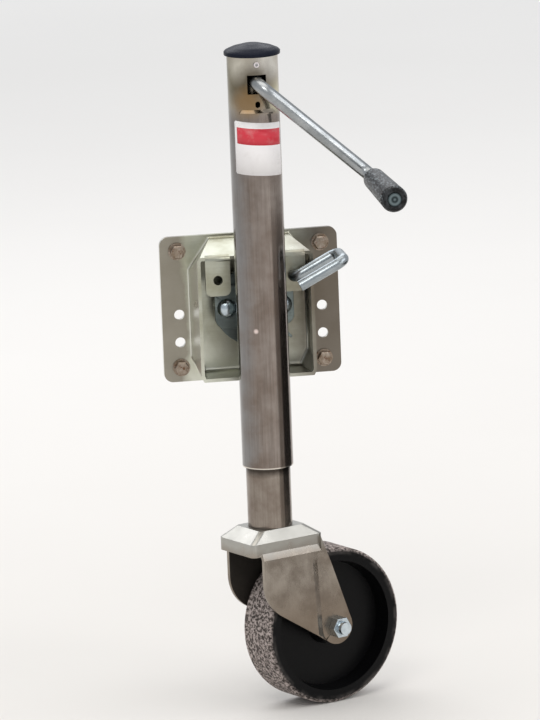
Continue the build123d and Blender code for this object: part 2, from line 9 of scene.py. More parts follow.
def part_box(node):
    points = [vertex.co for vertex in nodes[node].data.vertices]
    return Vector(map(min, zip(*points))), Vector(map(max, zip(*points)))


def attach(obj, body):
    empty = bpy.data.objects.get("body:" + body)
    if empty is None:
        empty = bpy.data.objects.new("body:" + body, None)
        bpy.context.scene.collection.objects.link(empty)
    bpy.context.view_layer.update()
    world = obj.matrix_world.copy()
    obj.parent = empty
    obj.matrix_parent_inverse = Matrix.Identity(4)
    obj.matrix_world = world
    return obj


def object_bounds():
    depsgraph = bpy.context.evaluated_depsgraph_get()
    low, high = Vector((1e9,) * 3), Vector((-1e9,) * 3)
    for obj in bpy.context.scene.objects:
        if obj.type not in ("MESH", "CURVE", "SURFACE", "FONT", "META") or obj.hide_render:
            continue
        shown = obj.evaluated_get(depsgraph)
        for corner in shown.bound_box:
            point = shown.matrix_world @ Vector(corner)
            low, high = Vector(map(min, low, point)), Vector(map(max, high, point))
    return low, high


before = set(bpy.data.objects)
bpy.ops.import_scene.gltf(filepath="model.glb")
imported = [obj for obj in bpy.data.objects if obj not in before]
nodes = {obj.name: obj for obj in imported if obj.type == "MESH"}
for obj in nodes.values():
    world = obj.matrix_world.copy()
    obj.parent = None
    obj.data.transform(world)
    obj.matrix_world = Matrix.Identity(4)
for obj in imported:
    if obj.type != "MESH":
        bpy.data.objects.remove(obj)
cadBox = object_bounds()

mm = 0.001
print("frame loaded:", len(nodes), "pieces")


def linearColor(hexText):
    # sRGB hex to the linear values that the shaders work in
    channels = [int(hexText[i:i + 2], 16) / 255 for i in (1, 3, 5)]
    linear = [c / 12.92 if c <= 0.04045 else ((c + 0.055) / 1.055) ** 2.4 for c in channels]
    return (*linear, 1.0)


def patternScale(sizeMm):
    # a texture's scale for a pattern of this many millimetres
    return 1000 / sizeMm


def addNode(tree, kind, settings=None, inputs=None):
    # a node with its settings, and its inputs given as values or as sockets to link
    node = tree.nodes.new(kind)
    for name, value in (settings or {}).items():
        setattr(node, name, value)
    for name, value in (inputs or {}).items():
        if isinstance(value, bpy.types.NodeSocket):
            tree.links.new(value, node.inputs[name])
        else:
            node.inputs[name].default_value = value
    return node


def newMaterial(title):
    # an empty material with its shader and output
    material = bpy.data.materials.new(title)
    material.use_nodes = True
    tree = material.node_tree
    tree.nodes.clear()
    shader = addNode(tree, "ShaderNodeBsdfPrincipled")
    addNode(tree, "ShaderNodeOutputMaterial", inputs={"Surface": shader.outputs["BSDF"]})
    return material, tree, shader


def meshObject(title, mesh, material):
    # an object in the scene, made of a finished bmesh
    data = bpy.data.meshes.new(title)
    mesh.to_mesh(data)
    mesh.free()
    data.materials.append(material)
    piece = bpy.data.objects.new(title, data)
    bpy.context.scene.collection.objects.link(piece)
    return piece


# places taken from the frame, for the pieces and patterns that follow them

def boxCentre(name):
    # the middle of a piece's box at rest
    low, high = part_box(name)
    return (Vector(low) + Vector(high)) / 2


def frontCentre(name):
    # the middle of the front of a piece's box
    middle = boxCentre(name)
    return middle.x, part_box(name)[0][1], middle.z


wheelCentre = boxCentre("caster_wheel")
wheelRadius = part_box("caster_wheel")[1][2] - wheelCentre.z
axleDirection = boxCentre("axle_spacer_near") - boxCentre("axle_spacer_far")
wheelTurn = math.atan2(axleDirection.x, -axleDirection.y)
tubeY = boxCentre("inner_tube").y  # both tubes share this axis
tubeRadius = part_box("outer_tube")[1][0]
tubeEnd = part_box("outer_tube")[0][2]
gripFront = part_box("crank_grip")[0][1]


# metals

plating = {  # what all the plated pieces share
    "cloudFrom": 0.35, "cloudTo": 0.68, "lineFrom": 0.4, "lineTo": 0.75,
    "lineStretch": 0.03,  # the scale along the drawn lines, as a share of that across them
    "spotBorder": 0.08, "ragged": 0.03,
    "patchCore": -0.1, "patchRim": 0.7,  # where a patch is full and where it ends, as shares of its radius
    "dullMetal": 0.35, "dullRough": 0.3,  # the metal left under rust and dirt, and the roughness they add
    "glossFrom": 0.3, "glossTo": 0.7,
    "lineHeight": 0.6, "threadHeight": 3.0, "reliefDepth": 0.0004,
    "threadsBehind": 0.0005}  # the bolts are threaded behind this depth


def shadeAndToneShift(tree, coordinates, clouds, color, shift):
    # the colour changes toward one side or end, or on what faces one way, with a ragged border: used for
    # painted light and shade, and for the paler tone at the tube's top
    across = addNode(tree, "ShaderNodeSeparateXYZ", inputs={
        "Vector": coordinates.outputs[shift.get("by", "Object")]})
    ragged = addNode(tree, "ShaderNodeMath", {"operation": "MULTIPLY_ADD"}, {
        0: clouds, 1: shift.get("ragged", plating["ragged"]), 2: across.outputs[shift["axis"]]})
    shifted = addNode(tree, "ShaderNodeMapRange", inputs={
        "Value": ragged.outputs["Value"], "From Min": shift["start"], "From Max": shift["end"],
        "To Max": shift["amount"]})
    share = shifted.outputs["Result"]
    if "fades" in shift:
        # the tone is a band: between these heights it fades out again
        fade = addNode(tree, "ShaderNodeMapRange", inputs={
            "Value": ragged.outputs["Value"], "From Min": shift["fades"][0],
            "From Max": shift["fades"][1], "To Min": 1.0, "To Max": 0.0})
        band = addNode(tree, "ShaderNodeMath", {"operation": "MULTIPLY"}, {
            0: share, 1: fade.outputs["Result"]})
        share = band.outputs["Value"]
    toned = addNode(tree, "ShaderNodeMix", {"data_type": "RGBA"}, {
        "Factor": share, "A": color, "B": linearColor(shift["color"])})
    return toned.outputs["Result"], share


def softPatch(tree, place, clouds, color, mark):
    # a soft patch round a point, a stain or a painted highlight, its border broken up by the clouds
    away = addNode(tree, "ShaderNodeVectorMath", {"operation": "DISTANCE"}, {0: place, 1: mark["at"]})
    wander = addNode(tree, "ShaderNodeMath", {"operation": "MULTIPLY_ADD"}, {
        0: clouds, 1: -mark["radius"], 2: away.outputs["Value"]})
    covered = addNode(tree, "ShaderNodeMapRange", inputs={
        "Value": wander.outputs["Value"], "From Min": plating["patchCore"] * mark["radius"],
        "From Max": plating["patchRim"] * mark["radius"], "To Min": mark["amount"], "To Max": 0.0})
    marked = addNode(tree, "ShaderNodeMix", {"data_type": "RGBA"}, {
        "Factor": covered.outputs["Result"], "A": color, "B": linearColor(mark["color"])})
    return marked.outputs["Result"]


def shadeAndDustBetweenLegs(tree, coordinates, color, shadeAndDust):
    # a near-black film on what faces the wheel between the legs: painted shade, and the black dust that
    # gathers there
    across = axleDirection.normalized()
    facing = addNode(tree, "ShaderNodeVectorMath", {"operation": "DOT_PRODUCT"}, {
        0: coordinates.outputs["Normal"], 1: tuple(across)})
    sideways = addNode(tree, "ShaderNodeVectorMath", {"operation": "DOT_PRODUCT"}, {
        0: coordinates.outputs["Object"], 1: tuple(across)})
    off = addNode(tree, "ShaderNodeMath", {"operation": "SUBTRACT"}, {
        0: sideways.outputs["Value"], 1: across.dot(wheelCentre)})
    inward = addNode(tree, "ShaderNodeMath", {"operation": "MULTIPLY"}, {
        0: facing.outputs["Value"], 1: off.outputs["Value"]})
    share = addNode(tree, "ShaderNodeMapRange", inputs={
        "Value": inward.outputs["Value"], "From Min": shadeAndDust["full"], "From Max": shadeAndDust["none"],
        "To Min": shadeAndDust["amount"], "To Max": 0.0})
    darkened = addNode(tree, "ShaderNodeMix", {"data_type": "RGBA"}, {
        "Factor": share.outputs["Result"], "A": color, "B": linearColor(shadeAndDust["color"])})
    return darkened.outputs["Result"], share.outputs["Result"]


def punchedEnd(tree, place, color, rings):
    # a dull punched end: rings round its centre, no deeper than its skin
    away = addNode(tree, "ShaderNodeVectorMath", {"operation": "DISTANCE"}, {0: place, 1: rings["at"]})
    turns = addNode(tree, "ShaderNodeMath", {"operation": "MULTIPLY"}, {
        0: away.outputs["Value"], 1: 2 * math.pi * patternScale(rings["pitchMm"])})
    wave = addNode(tree, "ShaderNodeMath", {"operation": "COSINE"}, {0: turns.outputs["Value"]})
    tone = addNode(tree, "ShaderNodeMapRange", inputs={
        "Value": wave.outputs["Value"], "From Min": -1.0})
    ringed = addNode(tree, "ShaderNodeMix", {"data_type": "RGBA"}, {
        "Factor": tone.outputs["Result"], "A": linearColor(rings["between"]),
        "B": linearColor(rings["centre"])})
    depth = addNode(tree, "ShaderNodeSeparateXYZ", inputs={"Vector": place})
    atEnd = addNode(tree, "ShaderNodeMath", {"operation": "LESS_THAN"}, {
        0: depth.outputs["Y"], 1: rings["at"][1] + rings["skin"]})
    ended = addNode(tree, "ShaderNodeMix", {"data_type": "RGBA"}, {
        "Factor": atEnd.outputs["Value"], "A": color, "B": ringed.outputs["Result"]})
    return ended.outputs["Result"]


def rolledThreads(tree, place, height, pitchMm):
    # rolled threads on the exposed ends, where the bolt lies behind the mounting face
    along = addNode(tree, "ShaderNodeSeparateXYZ", inputs={"Vector": place})
    turns = addNode(tree, "ShaderNodeMath", {"operation": "MULTIPLY"}, {
        0: along.outputs["Y"], 1: 2 * math.pi * patternScale(pitchMm)})
    wave = addNode(tree, "ShaderNodeMath", {"operation": "SINE"}, {0: turns.outputs["Value"]})
    behind = addNode(tree, "ShaderNodeMath", {"operation": "GREATER_THAN"}, {
        0: along.outputs["Y"], 1: plating["threadsBehind"]})
    threads = addNode(tree, "ShaderNodeMath", {"operation": "MULTIPLY"}, {
        0: wave.outputs["Value"], 1: behind.outputs["Value"]})
    threaded = addNode(tree, "ShaderNodeMath", {"operation": "MULTIPLY_ADD"}, {
        0: threads.outputs["Value"], 1: plating["threadHeight"], 2: height})
    return threaded.outputs["Value"]


def platedSteel(title, look):
    # Zinc electroplate over pressed or drawn steel: a satin metal whose gloss and tint wander in soft
    # clouds, with the parallel lines that rolling or drawing left under the plating. The real lines are too
    # fine to show, so they are drawn several times as coarse.
    material, tree, shader = newMaterial(title)
    coordinates = addNode(tree, "ShaderNodeTexCoord")
    place = coordinates.outputs["Object"]
    clouds = addNode(tree, "ShaderNodeTexNoise", inputs={
        "Vector": place, "Scale": patternScale(look["cloudMm"]), "Detail": 5.0,
        "Roughness": 0.6}).outputs["Fac"]
    cloudAmount = addNode(tree, "ShaderNodeMapRange", inputs={
        "Value": clouds, "From Min": plating["cloudFrom"], "From Max": plating["cloudTo"]})
    tint = addNode(tree, "ShaderNodeMix", {"data_type": "RGBA"}, {
        "Factor": cloudAmount.outputs["Result"], "A": linearColor(look["zinc"]),
        "B": linearColor(look["tint"])})
    stretch = [1.0, 1.0, 1.0]
    stretch[look["lineAxis"]] = plating["lineStretch"]
    lines = addNode(tree, "ShaderNodeMapping", inputs={"Vector": place, "Scale": stretch})
    drawn = addNode(tree, "ShaderNodeTexNoise", inputs={
        "Vector": lines.outputs["Vector"], "Scale": patternScale(look["lineMm"]), "Detail": 3.0,
        "Roughness": 0.55})
    lineAmount = addNode(tree, "ShaderNodeMapRange", inputs={
        "Value": drawn.outputs["Fac"], "From Min": plating["lineFrom"], "From Max": plating["lineTo"],
        "To Max": look["lineDark"]})
    lined = addNode(tree, "ShaderNodeMix", {"data_type": "RGBA"}, {
        "Factor": lineAmount.outputs["Result"], "A": tint.outputs["Result"],
        "B": linearColor(look["grime"])})
    spots = addNode(tree, "ShaderNodeTexNoise", inputs={
        "Vector": place, "Scale": patternScale(look["spotMm"]), "Detail": 6.0, "Roughness": 0.7})
    spotAmount = addNode(tree, "ShaderNodeMapRange", inputs={
        "Value": spots.outputs["Fac"], "From Min": look["spotFrom"],
        "From Max": look["spotFrom"] + plating["spotBorder"]})
    spotted = addNode(tree, "ShaderNodeMix", {"data_type": "RGBA"}, {
        "Factor": spotAmount.outputs["Result"], "A": lined.outputs["Result"],
        "B": linearColor(look["spot"])})
    color = spotted.outputs["Result"]
    dull = spotAmount.outputs["Result"]
    rougher = []
    for shift in look.get("shadeAndToneShifts", []):
        color, share = shadeAndToneShift(tree, coordinates, clouds, color, shift)
        if "rougher" in shift:
            rougher.append((share, shift["rougher"]))
    for mark in look.get("stainsAndHighlights", []):
        color = softPatch(tree, place, clouds, color, mark)
    if "shadeAndDust" in look:
        color, darkShare = shadeAndDustBetweenLegs(tree, coordinates, color, look["shadeAndDust"])
        dull = addNode(tree, "ShaderNodeMath", {"operation": "MAXIMUM"}, {
            0: dull, 1: darkShare}).outputs["Value"]
    if "endRings" in look:
        color = punchedEnd(tree, place, color, look["endRings"])
    metal = addNode(tree, "ShaderNodeMapRange", inputs={
        "Value": dull, "To Min": 1.0, "To Max": plating["dullMetal"]})
    gloss = addNode(tree, "ShaderNodeMapRange", inputs={
        "Value": clouds, "From Min": plating["glossFrom"], "From Max": plating["glossTo"],
        "To Min": look["roughness"][0], "To Max": look["roughness"][1]})
    rough = gloss.outputs["Result"]
    for share, amount in [(dull, plating["dullRough"])] + rougher:
        rough = addNode(tree, "ShaderNodeMath", {"operation": "MULTIPLY_ADD", "use_clamp": True}, {
            0: share, 1: amount, 2: rough}).outputs["Value"]
    height = addNode(tree, "ShaderNodeMath", {"operation": "MULTIPLY_ADD"}, {
        0: drawn.outputs["Fac"], 1: plating["lineHeight"], 2: clouds}).outputs["Value"]
    if "threadPitchMm" in look:
        height = rolledThreads(tree, place, height, look["threadPitchMm"])
    bump = addNode(tree, "ShaderNodeBump", inputs={
        "Height": height, "Strength": look["bump"], "Distance": plating["reliefDepth"]})
    for name, source in (("Base Color", color), ("Metallic", metal.outputs["Result"]),
                         ("Roughness", rough), ("Normal", bump.outputs["Normal"])):
        tree.links.new(source, shader.inputs[name])
    return material


bracketLook = {  # pressed plate and box: pale zinc with a faint straw and olive cast
    "zinc": "#bbbdb0", "tint": "#a4a28c", "grime": "#83806e", "spot": "#7a5a3c",
    "cloudMm": 42, "lineMm": 1.6, "lineAxis": 0, "lineDark": 0.16, "spotMm": 7, "spotFrom": 0.74,
    "roughness": (0.26, 0.42), "bump": 0.08,
    "shadeAndToneShifts": [
        # painted reflection: the box is paler toward its bottom
        {"axis": "Z", "start": 0.005, "end": -0.055, "amount": 0.75, "color": "#dcddd0"},
        # painted shade: the right flange and the left flange darker toward their outer sides
        {"axis": "X", "start": 0.030, "end": 0.080, "amount": 0.9, "color": "#665c53"},
        {"axis": "X", "start": -0.048, "end": -0.054, "amount": 0.85, "color": "#8d867b"},
        # painted reflection: what faces left is paler
        {"axis": "X", "by": "Normal", "start": -0.35, "end": -0.6, "amount": 0.8, "ragged": 0.0,
         "color": "#e9e9e1"}]}
tubeLook = {  # drawn tube: greyer, its lines run up and down
    "zinc": "#928983", "tint": "#7c7068", "grime": "#544c46", "spot": "#5b4630",
    "cloudMm": 30, "lineMm": 1.8, "lineAxis": 2, "lineDark": 0.42, "spotMm": 6, "spotFrom": 0.78,
    "roughness": (0.12, 0.21), "bump": 0.04,
    "stainsAndHighlights": [  # round the crank's window: grease, painted shade on the tube's left edge and pale painted highlights; and one pale speck low on the tube
        # painted shade: a dark olive patch on the tube's left edge
        {"at": (-0.024, -0.0870, 0.245), "radius": 0.026, "amount": 0.7, "color": "#6d6853"},
        # painted highlights: the three pale patches by the rivet and right of the window
        {"at": (-0.016, -0.0978, 0.256), "radius": 0.016, "amount": 0.7, "color": "#d8d3c6"},
        {"at": (0.013, -0.1000, 0.257), "radius": 0.018, "amount": 0.8, "color": "#dcd9d2"},
        {"at": (0.020, -0.0937, 0.226), "radius": 0.016, "amount": 0.7, "color": "#e0dcbf"},
        {"at": (-0.003, -0.1034, 0.238), "radius": 0.024, "amount": 0.8, "color": "#4f4535"},
        {"at": (-0.010, -0.1013, 0.222), "radius": 0.016, "amount": 0.8, "color": "#8e7350"},
        {"at": (-0.0103, -0.1012, -0.0080), "radius": 0.0024, "amount": 0.9, "color": "#ead8d2"}],
    "shadeAndToneShifts": [
        # painted reflection: the left of the tube bluish-grey
        {"axis": "X", "start": 0.006, "end": -0.010, "amount": 0.6, "color": "#85888a"},
        {"axis": "Z", "start": 0.2180, "end": 0.2330, "amount": 0.65, "ragged": 0.026, "rougher": 0.02,
         "color": "#b1a794"},
        # painted highlight: a pale rim at the tube's lower end
        {"axis": "Z", "start": tubeEnd + 0.0014, "end": tubeEnd + 0.0008, "amount": 0.9,
         "ragged": 0.0, "color": "#ded6cc"}]}
innerTubeLook = {  # sliding tube: a film of old grease dulls it and warms its colour
    "zinc": "#948b82", "tint": "#7f736a", "grime": "#5f564c", "spot": "#5b452e",
    "cloudMm": 18, "lineMm": 1.5, "lineAxis": 2, "lineDark": 0.3, "spotMm": 5, "spotFrom": 0.74,
    "roughness": (0.13, 0.24), "bump": 0.05,
    "shadeAndToneShifts": [  # a dark ring where the tubes meet: painted shadow of the outer tube's end
        {"axis": "Z", "start": tubeEnd - 0.008, "end": tubeEnd - 0.001, "amount": 0.85,
         "ragged": 0.004, "fades": (tubeEnd + 0.002, tubeEnd + 0.012), "color": "#2b2622"}]}
brightLook = {  # cold-drawn bar with fresh, bluish zinc
    "zinc": "#a6adb1", "tint": "#8f979b", "grime": "#6b7276", "spot": "#85755f",
    "cloudMm": 14, "lineMm": 1.2, "lineAxis": 0, "lineDark": 0.2, "spotMm": 5, "spotFrom": 0.76,
    "roughness": (0.24, 0.36), "bump": 0.05}
crankLook = dict(  # the same bar, more neutral, its end punched over to hold the grip
    brightLook, zinc="#a9acae", tint="#919597",
    endRings={"at": frontCentre("crank_grip"), "pitchMm": 4.6, "skin": 0.0006,
              "between": "#30383a", "centre": "#6f7b7e"})
indexLook = {  # sheared plate in the box: dull grey-green zinc, darkened with painted shade of the box
    "zinc": "#79827f", "tint": "#636b6a", "grime": "#464b4a", "spot": "#5a4a38",
    "cloudMm": 14, "lineMm": 1.4, "lineAxis": 0, "lineDark": 0.3, "spotMm": 5, "spotFrom": 0.74,
    "roughness": (0.26, 0.40), "bump": 0.08}
spindleLook = {  # turned pin, dull and a little oily
    "zinc": "#86847e", "tint": "#6f6b63", "grime": "#4b463f", "spot": "#5c452e",
    "cloudMm": 10, "lineMm": 1.0, "lineAxis": 1, "lineDark": 0.4, "spotMm": 4, "spotFrom": 0.70,
    "roughness": (0.30, 0.45), "bump": 0.08}
boltLook = {  # small zinc fasteners, bright with a bluish cast
    "zinc": "#ccd6dc", "tint": "#aebac2", "grime": "#7f878d", "spot": "#85725c",
    "cloudMm": 8, "lineMm": 1.0, "lineAxis": 2, "lineDark": 0.2, "spotMm": 4, "spotFrom": 0.76,
    "roughness": (0.16, 0.30), "bump": 0.05}
weatheredLook = {  # fixing bolts after seasons outdoors: dull straw plating with rust in the corners
    "zinc": "#ada195", "tint": "#8a7967", "grime": "#5c4c3c", "spot": "#684429",
    "cloudMm": 5, "lineMm": 1.0, "lineAxis": 2, "lineDark": 0.4, "spotMm": 3.5, "spotFrom": 0.56,
    "roughness": (0.30, 0.50), "bump": 0.14, "threadPitchMm": 1.4111}  # 18 threads to the inch
forkLook = {  # pressed fork: thick satin zinc, warm and pale; its crown painted paler as a painted highlight, its legs darker toward the bottom as painted shade
    "zinc": "#a1998f", "tint": "#7a7066", "grime": "#685f55", "spot": "#74593e",
    "cloudMm": 26, "lineMm": 1.5, "lineAxis": 2, "lineDark": 0.14, "spotMm": 6, "spotFrom": 0.77,
    "roughness": (0.20, 0.33), "bump": 0.07,
    # the dark film is full on what faces the wheel from 20 mm off its middle, and gone within 8 mm of it:
    # painted shade with dust
    "shadeAndDust": {"amount": 0.9, "color": "#221f1c", "full": -0.020, "none": -0.008},
    "shadeAndToneShifts": [
        # painted shade: darker toward the bottom of the legs
        {"axis": "Z", "start": -0.250, "end": -0.290, "amount": 0.7, "color": "#76685a"},
        # painted highlight: the crown paler
        {"axis": "Z", "start": -0.222, "end": -0.208, "amount": 0.85, "rougher": 0.07,
         "color": "#b3b2ac"}]}
rivetLook = {  # plain blind rivet, a dull aluminium-grey steel, its broken stem a dark dimple
    "zinc": "#bfc0c0", "tint": "#a8a8a6", "grime": "#77746f", "spot": "#70604e",
    "cloudMm": 3, "lineMm": 0.8, "lineAxis": 2, "lineDark": 0.2, "spotMm": 2, "spotFrom": 0.72,
    "roughness": (0.28, 0.4), "bump": 0.05,
    "endRings": {"at": frontCentre("cap_rivet"), "pitchMm": 4.2, "skin": 0.0006,
                 "between": "#e6dedf", "centre": "#3b3433"}}
weldLook = {  # weld metal plated over: lumpy, a little darker than the sheet
    "zinc": "#8f918d", "tint": "#77736a", "grime": "#4f4a41", "spot": "#5f442a",
    "cloudMm": 4, "lineMm": 2.0, "lineAxis": 2, "lineDark": 0.4, "spotMm": 3, "spotFrom": 0.66,
    "roughness": (0.30, 0.46), "bump": 0.25}

bracketZinc = platedSteel("bracketZinc", bracketLook)
tubeZinc = platedSteel("tubeZinc", tubeLook)
innerTubeZinc = platedSteel("innerTubeZinc", innerTubeLook)
barZinc = platedSteel("barZinc", brightLook)
crankZinc = platedSteel("crankZinc", crankLook)
indexZinc = platedSteel("indexZinc", indexLook)
spindleZinc = platedSteel("spindleZinc", spindleLook)
boltZinc = platedSteel("boltZinc", boltLook)
weatheredBolt = platedSteel("weatheredBolt", weatheredLook)
forkZinc = platedSteel("forkZinc", forkLook)
rivetSteel = platedSteel("rivetSteel", rivetLook)
weldZinc = platedSteel("weldZinc", weldLook)
print("metals ready")


# plastics and the label

capLook = {"plastic": "#171a24", "faded": "#20232e", "cloudMm": 12, "grainMm": 0.7,
           "roughness": (0.22, 0.34), "glossFrom": 0.3, "glossTo": 0.7, "gloss": 0.05, "ior": 1.51,
           "grainBump": 0.04, "grainDepth": 0.0002}


def capPlastic():
    # Polyethylene, injection moulded: smooth and waxy, so light lies on it in one broad soft gloss. Its
    # grain is drawn coarser than the real one, so that it shows.
    material, tree, shader = newMaterial("capPolyethylene")
    place = addNode(tree, "ShaderNodeTexCoord").outputs["Object"]
    clouds = addNode(tree, "ShaderNodeTexNoise", inputs={
        "Vector": place, "Scale": patternScale(capLook["cloudMm"]), "Detail": 4.0})
    color = addNode(tree, "ShaderNodeMix", {"data_type": "RGBA"}, {
        "Factor": clouds.outputs["Fac"], "A": linearColor(capLook["plastic"]),
        "B": linearColor(capLook["faded"])})
    rough = addNode(tree, "ShaderNodeMapRange", inputs={
        "Value": clouds.outputs["Fac"], "From Min": capLook["glossFrom"], "From Max": capLook["glossTo"],
        "To Min": capLook["roughness"][0], "To Max": capLook["roughness"][1]})
    grain = addNode(tree, "ShaderNodeTexNoise", inputs={
        "Vector": place, "Scale": patternScale(capLook["grainMm"]), "Detail": 2.0})
    bump = addNode(tree, "ShaderNodeBump", inputs={
        "Height": grain.outputs["Fac"], "Strength": capLook["grainBump"],
        "Distance": capLook["grainDepth"]})
    shader.inputs["IOR"].default_value = capLook["ior"]
    shader.inputs["Specular IOR Level"].default_value = capLook["gloss"]
    tree.links.new(color.outputs["Result"], shader.inputs["Base Color"])
    tree.links.new(rough.outputs["Result"], shader.inputs["Roughness"])
    tree.links.new(bump.outputs["Normal"], shader.inputs["Normal"])
    return material


gripLook = {"plastic": "#0a0a0b", "worn": "#565a5e", "scored": "#8f969b",
            "wearMm": 5, "wearFrom": 0.48, "wearTo": 0.74, "wearMost": 0.55,
            "scratchMm": 1.6, "scratchStretch": 0.22, "scoreFrom": 0.50, "scoreTo": 0.66, "scoreMost": 0.6,
            "endDepth": 0.0015,  # the ring at the end, this thick, has no scores
            "roughness": (0.28, 0.55), "glossFrom": 0.3, "glossTo": 0.7, "gloss": 0.25, "ior": 1.49,
            "scratchBump": 0.5, "scratchDepth": 0.0006}


def gripPlastic():
    # Polypropylene, moulded black: hands have rubbed it to a patchy grey sheen with scratches along it,
    # which are drawn wider than the real ones, so that they show.
    material, tree, shader = newMaterial("gripPolypropylene")
    place = addNode(tree, "ShaderNodeTexCoord").outputs["Object"]
    wear = addNode(tree, "ShaderNodeTexNoise", inputs={
        "Vector": place, "Scale": patternScale(gripLook["wearMm"]), "Detail": 7.0, "Roughness": 0.65})
    worn = addNode(tree, "ShaderNodeMapRange", inputs={
        "Value": wear.outputs["Fac"], "From Min": gripLook["wearFrom"], "From Max": gripLook["wearTo"],
        "To Max": gripLook["wearMost"]})
    rubbed = addNode(tree, "ShaderNodeMix", {"data_type": "RGBA"}, {
        "Factor": worn.outputs["Result"], "A": linearColor(gripLook["plastic"]),
        "B": linearColor(gripLook["worn"])})
    rough = addNode(tree, "ShaderNodeMapRange", inputs={
        "Value": wear.outputs["Fac"], "From Min": gripLook["glossFrom"], "From Max": gripLook["glossTo"],
        "To Min": gripLook["roughness"][0], "To Max": gripLook["roughness"][1]})
    stretched = addNode(tree, "ShaderNodeMapping", inputs={
        "Vector": place, "Scale": (1.0, gripLook["scratchStretch"], 1.0)})
    scratches = addNode(tree, "ShaderNodeTexNoise", inputs={
        "Vector": stretched.outputs["Vector"], "Scale": patternScale(gripLook["scratchMm"]),
        "Detail": 5.0})
    scored = addNode(tree, "ShaderNodeMapRange", inputs={
        "Value": scratches.outputs["Fac"], "From Min": gripLook["scoreFrom"],
        "From Max": gripLook["scoreTo"], "To Max": gripLook["scoreMost"]})
    depth = addNode(tree, "ShaderNodeSeparateXYZ", inputs={"Vector": place})
    onSide = addNode(tree, "ShaderNodeMath", {"operation": "GREATER_THAN"}, {
        0: depth.outputs["Y"], 1: gripFront + gripLook["endDepth"]})
    sideScores = addNode(tree, "ShaderNodeMath", {"operation": "MULTIPLY"}, {
        0: scored.outputs["Result"], 1: onSide.outputs["Value"]})
    color = addNode(tree, "ShaderNodeMix", {"data_type": "RGBA"}, {
        "Factor": sideScores.outputs["Value"], "A": rubbed.outputs["Result"],
        "B": linearColor(gripLook["scored"])})
    bump = addNode(tree, "ShaderNodeBump", inputs={
        "Height": scratches.outputs["Fac"], "Strength": gripLook["scratchBump"],
        "Distance": gripLook["scratchDepth"]})
    shader.inputs["IOR"].default_value = gripLook["ior"]
    shader.inputs["Specular IOR Level"].default_value = gripLook["gloss"]
    tree.links.new(color.outputs["Result"], shader.inputs["Base Color"])
    tree.links.new(rough.outputs["Result"], shader.inputs["Roughness"])
    tree.links.new(bump.outputs["Normal"], shader.inputs["Normal"])
    return material


wheelLook = {"plastic": "#050506", "dust": "#453e3a", "chalk": "#b5a9a4", "scuff": "#4a4644",
             "speckMm": 2.8, "cloudMm": 16,
             # depths under the tread: where dust starts, where it is full, and the scuffed ring's borders
             "dustStart": 0.0040, "dustFull": 0.0008, "ringStart": 0.0075, "ringFull": 0.0050,
             "ringFade": 0.0045, "ringEnd": 0.0025,
             "dustFrom": 0.36, "dustTo": 0.50, "dustLeast": 0.3, "dustMost": 0.95,
             "chalkFrom": 0.47, "chalkTo": 0.55, "chalkLeast": 0.1,
             "scuffFrom": 0.42, "scuffTo": 0.62, "scuffMost": 0.6,
             "roughness": (0.34, 0.92), "gloss": 0.14, "ior": 1.5, "gritBump": 0.25, "gritDepth": 0.0008}


